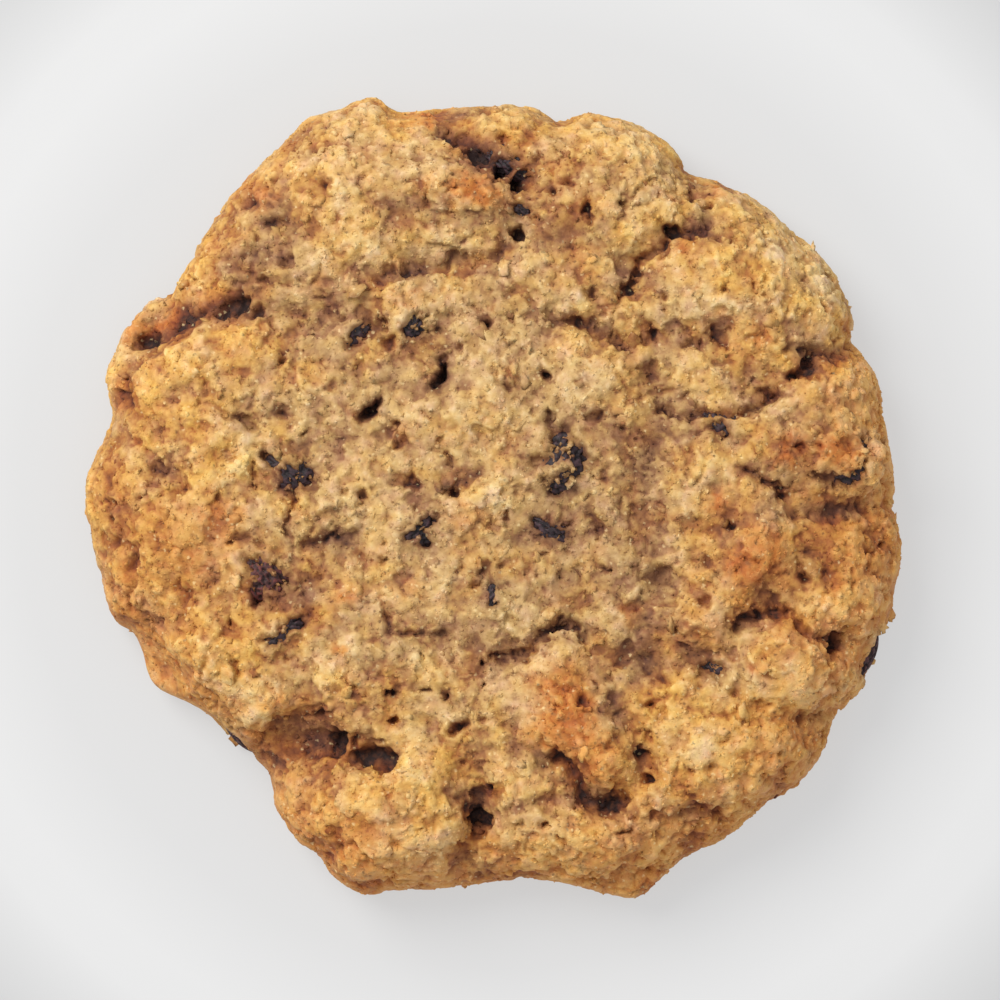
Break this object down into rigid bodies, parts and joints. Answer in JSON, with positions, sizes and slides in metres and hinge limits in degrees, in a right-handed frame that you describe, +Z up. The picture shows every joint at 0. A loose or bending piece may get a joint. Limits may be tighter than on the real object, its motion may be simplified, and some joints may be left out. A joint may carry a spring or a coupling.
{
  "type": "oatmeal raisin cookie",
  "caption": "Round baked oat cookie with a cracked, lumpy crust, a ragged edge, a flat underside and raisins sunk in its top and side.",
  "frame": {"origin": "middle of the cookie's extent, on its flat underside", "axes": "+Z up through the crust; +X along the cookie's longest width; +Y to the side that lies at the top when the cookie is seen from above"},
  "size_m": [0.086, 0.0844, 0.0146],
  "materials": {
    "baked_dough": "matt, rough baked oat crumb, pale gold with toasted patches",
    "raisin_skin": "wrinkled, satin, near-black purple"
  },
  "bodies": {
    "root": {"cookie_dough": "baked_dough", "raisin_01": "raisin_skin", "raisin_02": "raisin_skin", "raisin_03": "raisin_skin", "raisin_04": "raisin_skin", "raisin_05": "raisin_skin", "raisin_06": "raisin_skin", "raisin_07": "raisin_skin", "raisin_08": "raisin_skin", "raisin_09": "raisin_skin", "raisin_10": "raisin_skin", "raisin_11": "raisin_skin", "raisin_12": "raisin_skin", "raisin_13": "raisin_skin", "raisin_14": "raisin_skin", "raisin_15": "raisin_skin", "raisin_16": "raisin_skin"}
  },
  "joints": []
}
